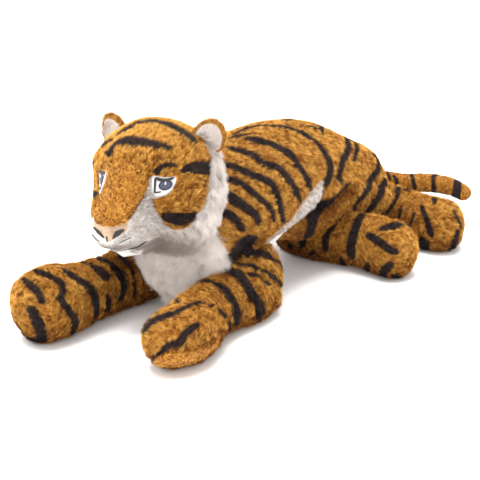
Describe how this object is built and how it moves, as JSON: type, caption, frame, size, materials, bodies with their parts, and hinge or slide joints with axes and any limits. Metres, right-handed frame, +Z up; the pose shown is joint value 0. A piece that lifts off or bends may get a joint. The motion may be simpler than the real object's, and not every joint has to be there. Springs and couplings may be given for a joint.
{
  "type": "plush tiger",
  "caption": "Large stuffed toy tiger lying on its chest, with striped plush covers sewn over fibre stuffing, a white bib and belly, a turning head, folding ears and soft swinging legs and tail.",
  "frame": {"origin": "on the floor plane, under the middle of the whole toy's bounding box", "axes": "+Z up; the tiger faces -Y, so +Y points to its tail; +X is its own left side, the side that the hind legs lie on"},
  "size_m": [0.3596, 0.8238, 0.2807],
  "materials": {
    "plush_orange": "short orange plush pile with near-black stripes",
    "plush_white": "white plush pile, longer on the ruff and bib",
    "nose_fabric": "short smooth peach fabric",
    "eye_fabric": "flat white embroidery",
    "iris_thread": "satin blue-grey embroidery",
    "dark_thread": "dark embroidery thread",
    "fibre": "loose white polyester fibre"
  },
  "bodies": {
    "torso": {"flank_panel_left": "plush_orange", "flank_panel_right": "plush_orange", "belly_panel": "plush_white", "rump_panel": "plush_orange", "chest_bib": "plush_white", "torso_stuffing": "fibre"},
    "neck": {"neck_stuffing": "fibre"},
    "head": {"head_crown_panel": "plush_orange", "cheek_patch_left": "plush_orange", "cheek_patch_right": "plush_orange", "face_ruff_panel": "plush_white", "muzzle_panel": "plush_white", "nose_patch": "nose_fabric", "head_stuffing": "fibre", "eye_white_left": "eye_fabric", "lid_outline_left": "dark_thread", "iris_left": "iris_thread", "nostril_left": "dark_thread", "eye_white_right": "eye_fabric", "lid_outline_right": "dark_thread", "iris_right": "iris_thread", "nostril_right": "dark_thread", "philtrum_stitch": "dark_thread", "mouth_stitch_left": "dark_thread", "mouth_stitch_right": "dark_thread", "lip_stitch_left": "dark_thread", "lip_stitch_right": "dark_thread"},
    "ear_left": {"ear_back_left": "plush_orange", "ear_inner_left": "plush_white"},
    "ear_right": {"ear_back_right": "plush_orange", "ear_inner_right": "plush_white"},
    "front_leg_left": {"front_leg_left_cover": "plush_orange", "front_leg_left_stuffing": "fibre"},
    "front_leg_right": {"front_leg_right_cover": "plush_orange", "front_leg_right_stuffing": "fibre"},
    "hind_leg_right": {"hind_leg_right_cover": "plush_orange", "hind_leg_right_stuffing": "fibre"},
    "hind_leg_left": {"hind_leg_left_cover": "plush_orange", "hind_leg_left_stuffing": "fibre"},
    "tail": {"tail_cover": "plush_orange", "tail_stuffing": "fibre"}
  },
  "joints": [
    {"name": "head_turn", "type": "hinge", "parent": "torso", "child": "neck", "pos_m": [-0.06, -0.15387, 0.122], "axis": [0, 0, 1], "range_deg": [-20, 20], "stiffness_Nm_per_rad": 3},
    {"name": "head_nod", "type": "hinge", "parent": "neck", "child": "head", "pos_m": [-0.06, -0.15387, 0.122], "axis": [1, 0, 0], "range_deg": [-12, 6], "stiffness_Nm_per_rad": 4},
    {"name": "ear_fold_left", "type": "hinge", "parent": "head", "child": "ear_left", "pos_m": [-0.00805, -0.18134, 0.23969], "axis": [0.8225, 0.3599, -0.4405], "range_deg": [-15, 15], "stiffness_Nm_per_rad": 0.05},
    {"name": "ear_fold_right", "type": "hinge", "parent": "head", "child": "ear_right", "pos_m": [-0.14521, -0.20062, 0.22757], "axis": [0.801, -0.1317, 0.5839], "range_deg": [-15, 15], "stiffness_Nm_per_rad": 0.05},
    {"name": "front_leg_left_swing", "type": "hinge", "parent": "torso", "child": "front_leg_left", "pos_m": [0.02177, -0.10988, 0.0523], "axis": [0, 0, 1], "range_deg": [-5, 15], "stiffness_Nm_per_rad": 2},
    {"name": "front_leg_right_swing", "type": "hinge", "parent": "torso", "child": "front_leg_right", "pos_m": [-0.10375, -0.15813, 0.05009], "axis": [0, 0, 1], "range_deg": [-15, 5], "stiffness_Nm_per_rad": 2},
    {"name": "hind_leg_right_swing", "type": "hinge", "parent": "torso", "child": "hind_leg_right", "pos_m": [-0.03536, 0.10402, 0.03886], "axis": [0, 0, 1], "range_deg": [-15, 8], "stiffness_Nm_per_rad": 2},
    {"name": "hind_leg_left_swing", "type": "hinge", "parent": "torso", "child": "hind_leg_left", "pos_m": [0.00994, 0.20616, 0.07055], "axis": [0, 0, 1], "range_deg": [-10, 1.5], "stiffness_Nm_per_rad": 2},
    {"name": "tail_swing", "type": "hinge", "parent": "torso", "child": "tail", "pos_m": [-0.01045, 0.28168, 0.08438], "axis": [0, 0, 1], "range_deg": [-1, 25], "stiffness_Nm_per_rad": 0.3}
  ]
}
